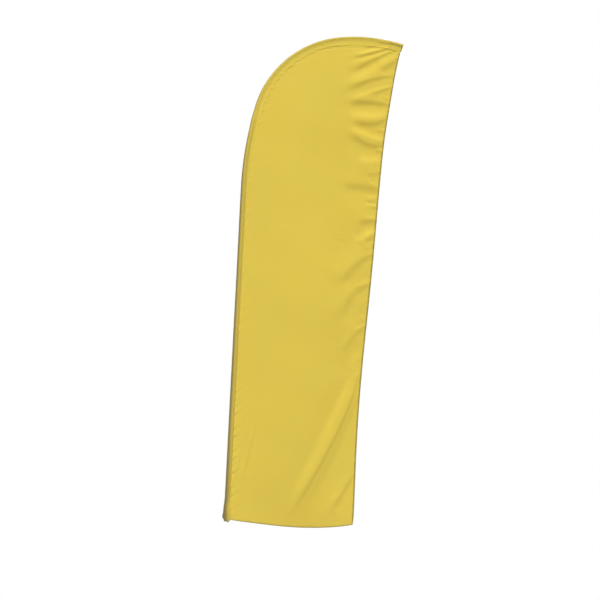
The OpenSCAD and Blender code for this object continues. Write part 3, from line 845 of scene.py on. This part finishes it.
def yarns(tree, place, direction):
    made = add(tree, "TexWave", {"Vector": place, "Scale": WAVE_UNIT / WEAVE, "Distortion": 0.6,
                                 "Detail": 1.0, "Detail Scale": 0.4}, bands_direction=direction)
    return made.outputs["Fac"]


def cloth_material(name, level, through, shade_name=None, dark=(1, 1, 1)):
    """Knitted flag polyester: crossing yarns, slubs, dye that is slowly uneven, and light through it."""
    material, tree, place = blank(name)
    threads = math_node(tree, "MULTIPLY", yarns(tree, place, "X"), yarns(tree, place, "Z"))
    patches = spread(tree, noise(tree, place, 1.7, 2.0), 0.3, 0.7, 0.985, 1.015)
    drawn_out = stretched(tree, place, (60, 60, 900))
    slubs = spread(tree, noise(tree, drawn_out, 1.0, 2.0), 0.35, 0.65, 0.985, 1.015)
    value = math_node(tree, "MULTIPLY", patches, slubs)
    value = math_node(tree, "MULTIPLY", value, spread(tree, threads, 0, 1, 0.96, 1.02))
    hue = tint(tree, spread(tree, noise(tree, place, 4.3, 2.0), 0.35, 0.65, 0, 1),
               rgb((YELLOW[0] * 0.992, YELLOW[1] * 1.006, YELLOW[2] * 1.04), level),
               rgb((YELLOW[0] * 1.006, YELLOW[1] * 0.996, YELLOW[2] * 0.96), level))
    colour = toned(tree, hue, value)
    # where a shade attribute is given it mixes the colour towards the dark tint: this is partly painted
    # shade
    if shade_name:
        shade = add(tree, "Attribute", attribute_name=shade_name, attribute_type="GEOMETRY").outputs["Fac"]
        colour = tint(tree, shade, colour, tint(tree, 1.0, colour, rgb(dark), "MULTIPLY"))
    bump = add(tree, "Bump", {"Height": threads, "Strength": 0.35, "Distance": 0.12 * MM}).outputs["Normal"]
    skin = add(tree, "BsdfPrincipled", {"Base Color": colour, "Roughness": 0.78, "Specular IOR Level": 0.25,
                                        "Sheen Weight": 0.12, "Sheen Roughness": 0.45, "Normal": bump})
    glow = add(tree, "BsdfTranslucent", {"Color": colour, "Normal": bump})
    output(tree, add(tree, "MixShader", {0: through, 1: skin.outputs[0], 2: glow.outputs[0]}).outputs[0])
    return material


def thread_material(name, level):
    material, tree, place = blank(name)
    fibre = add(tree, "TexWave", {"Vector": place, "Scale": WAVE_UNIT / (0.3 * MM), "Distortion": 2.0},
                bands_direction="DIAGONAL").outputs["Fac"]
    colour = toned(tree, rgb(YELLOW, level), spread(tree, fibre, 0, 1, 0.85, 1.1))
    bump = add(tree, "Bump", {"Height": fibre, "Strength": 0.4, "Distance": 0.05 * MM}).outputs["Normal"]
    skin = add(tree, "BsdfPrincipled", {"Base Color": colour, "Roughness": 0.5, "Specular IOR Level": 0.4,
                                        "Normal": bump})
    output(tree, skin.outputs[0])
    return material


def hard_material(name, colour, rough, metal, stretch, grain, depth, wear, worn, coat=0.0):
    """Metal or plastic: fine grain in colour, roughness and bump, drifting dust and small worn marks."""
    material, tree, place = blank(name)
    drawn_out = stretched(tree, place, stretch)
    grained = noise(tree, drawn_out, grain, 3.0)
    cloudy = noise(tree, place, 14.0, 4.0)
    marks = spread(tree, noise(tree, drawn_out, grain * 0.13, 6.0, 0.7), 0.62, 0.72, 0, worn)
    base = toned(tree, rgb(colour), spread(tree, grained, 0.3, 0.7, 0.86, 1.14))
    base = toned(tree, base, spread(tree, cloudy, 0.3, 0.7, 0.9, 1.12))
    base = tint(tree, marks, base, rgb(wear))
    roughness = math_node(tree, "ADD", spread(tree, cloudy, 0.3, 0.7, rough - 0.06, rough + 0.08),
                          spread(tree, grained, 0.3, 0.7, -0.03, 0.03))
    bump = add(tree, "Bump", {"Height": grained, "Strength": 0.5, "Distance": depth * MM}).outputs["Normal"]
    skin = add(tree, "BsdfPrincipled", {"Base Color": base, "Metallic": metal, "Roughness": roughness,
                                        "Coat Weight": coat, "Coat Roughness": 0.3, "Normal": bump})
    output(tree, skin.outputs[0])
    return material


def cord_material():
    material, tree, place = blank("braided_cord")
    strands = add(tree, "TexWave", {"Vector": place, "Scale": WAVE_UNIT / (0.22 * MM), "Distortion": 3.0,
                                    "Detail": 2.0}, bands_direction="DIAGONAL").outputs["Fac"]
    flecks = spread(tree, noise(tree, place, 900.0, 2.0), 0.58, 0.66, 0, 0.35)
    colour = toned(tree, rgb((0.030, 0.030, 0.034)), spread(tree, strands, 0, 1, 0.6, 1.3))
    colour = tint(tree, flecks, colour, rgb((0.10, 0.10, 0.11)))
    bump = add(tree, "Bump", {"Height": strands, "Strength": 0.6, "Distance": 0.06 * MM}).outputs["Normal"]
    skin = add(tree, "BsdfPrincipled", {"Base Color": colour, "Roughness": 0.72, "Sheen Weight": 0.2,
                                        "Sheen Roughness": 0.4, "Normal": bump})
    output(tree, skin.outputs[0])
    return material


def dress(piece, material):
    piece.data.materials.clear()
    piece.data.materials.append(material)


def dress_hardware(coil):
    anodised = hard_material("black_anodised_tube", (0.022, 0.022, 0.025), 0.36, 0.85, (1, 1, 0.03), 2400.0,
                             0.02, (0.35, 0.35, 0.36), 0.10)
    nylon = hard_material("moulded_black_nylon", (0.020, 0.020, 0.020), 0.55, 0.0, (1, 1, 1), 1500.0, 0.05,
                          (0.07, 0.07, 0.07), 0.25)
    fibre = hard_material("pultruded_glass_fibre", (0.030, 0.029, 0.027), 0.42, 0.0, (1, 1, 0.02), 2600.0,
                          0.04, (0.16, 0.16, 0.15), 0.2, 0.25)
    bare = hard_material("turned_aluminium", (0.56, 0.57, 0.59), 0.30, 1.0, (0.1, 0.1, 1.5), 2200.0, 0.03,
                         (0.25, 0.25, 0.26), 0.12)
    rubber = hard_material("black_rubber", (0.014, 0.014, 0.014), 0.82, 0.0, (1, 1, 1), 900.0, 0.08,
                           (0.08, 0.075, 0.07), 0.2)
    brass = hard_material("rolled_brass", (0.62, 0.45, 0.17), 0.30, 1.0, (1, 1, 1), 1300.0, 0.03,
                          (0.20, 0.12, 0.05), 0.35)
    lock = hard_material("cord_lock_plastic", (0.026, 0.026, 0.028), 0.48, 0.0, (1, 1, 1), 2100.0, 0.04,
                         (0.10, 0.10, 0.10), 0.25)
    spring = hard_material("spring_wire", (0.60, 0.60, 0.61), 0.26, 1.0, (1, 1, 1), 3000.0, 0.02,
                           (0.30, 0.28, 0.25), 0.2)
    cord = cord_material()
    finishes = {
        "base_section": anodised, "mid_section": anodised, "foot_bush": nylon, "socket_bush": nylon,
        "mid_ferrule": bare, "tip_rod": fibre, "tip_cap": rubber, "eyelet": brass, "cord_lock_barrel": lock,
        "cord_lock_button": lock, "cord_end": lock, "cord_lock_spring": spring, "drawcord_loop": cord,
    }
    dress(coil, spring)
    for node, material in finishes.items():
        dress(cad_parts[node], material)
    return cord


# ---- studio ----
AMBIENT = 0.36
KEY_STRENGTH = 3.35
KEY_AZIMUTH, KEY_HEIGHT = math.radians(-3), math.radians(50)
BACK_STRENGTH = 2.1
BACK_AZIMUTH, BACK_HEIGHT = math.radians(155), math.radians(35)
FLOOR_HALF = 7.0


def make_world():
    world = bpy.data.worlds.new("studio")
    world.use_nodes = True
    tree = world.node_tree
    tree.nodes.clear()
    seen = add(tree, "Background", {"Color": (1, 1, 1, 1), "Strength": 1.0})
    fill = add(tree, "Background", {"Color": (1, 1, 1, 1), "Strength": AMBIENT})
    camera_ray = add(tree, "LightPath").outputs["Is Camera Ray"]
    mixed = add(tree, "MixShader", {0: camera_ray, 1: fill.outputs[0], 2: seen.outputs[0]})
    add(tree, "OutputWorld", {"Surface": mixed.outputs[0]})
    bpy.context.scene.world = world


def make_sun(name, azimuth, height, strength, softness):
    """A soft lamp; azimuth is from the camera's side, positive to the right."""
    data = bpy.data.lights.new(name, "SUN")
    data.energy = strength
    data.angle = math.radians(softness)
    lamp = bpy.data.objects.new(name, data)
    bpy.context.scene.collection.objects.link(lamp)
    level = math.cos(height)
    towards = Vector((math.sin(azimuth) * level, -math.cos(azimuth) * level, math.sin(height)))
    lamp.rotation_mode = "QUATERNION"
    lamp.rotation_quaternion = towards.to_track_quat("Z", "Y")
    lamp.location = CAMERA_AIM + towards * 6


def make_floor():
    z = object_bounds()[0].z - 2 * MM
    corners = [(x * FLOOR_HALF, y * FLOOR_HALF, z) for x, y in ((-1, -1), (1, -1), (1, 1), (-1, 1))]
    mesh = bpy.data.meshes.new("floor")
    mesh.from_pydata(corners, [], [(0, 1, 2, 3)])
    floor = bpy.data.objects.new("floor", mesh)
    bpy.context.scene.collection.objects.link(floor)
    material = bpy.data.materials.new("white_floor")
    material.use_nodes = True
    tree = material.node_tree
    tree.nodes.clear()
    output(tree, add(tree, "Emission", {"Color": (1, 1, 1, 1), "Strength": 1.0}).outputs[0])
    mesh.materials.append(material)
    floor.visible_diffuse = False
    floor.visible_shadow = False


def main():
    make_camera()
    coil = make_coil()
    cord = make_cord()
    sail = make_sail()
    hems = [make_leech_hem(), make_foot_hem()]
    seam = make_seam()
    sleeve = make_sleeve()
    pocket = make_pocket()
    stitches = make_all_stitches()
    sail_cloth = cloth_material("sail_polyester", 1.0, 0.18)
    # the hems' shade attribute, partly their overlocked edge and partly painted shade, darkens their edges
    # towards this colour
    hem_cloth = cloth_material("hem_polyester", 0.92, 0.10, "shade", (0.40, 0.40, 0.68))
    seam_cloth = cloth_material("seam_polyester", 0.93, 0.05)
    # the sleeve's shade attribute, partly painted shade and partly the dark pole showing through, darkens
    # it towards this colour
    sleeve_cloth = cloth_material("sleeve_polyester", 1.02, 0.08, "shade", (0.32, 0.31, 0.62))
    thread = thread_material("sewing_thread", 0.82)
    dress(sail, sail_cloth)
    for hem in hems:
        dress(hem, hem_cloth)
    dress(seam, seam_cloth)
    dress(sleeve, sleeve_cloth)
    dress(pocket, sleeve_cloth)
    for row in stitches:
        dress(row, thread)
    dress(cord, dress_hardware(coil))
    make_world()
    make_sun("key", KEY_AZIMUTH, KEY_HEIGHT, KEY_STRENGTH, 30)
    make_sun("back_fill", BACK_AZIMUTH, BACK_HEIGHT, BACK_STRENGTH, 60)
    make_floor()
    bpy.context.scene.view_settings.view_transform = "Standard"


main()
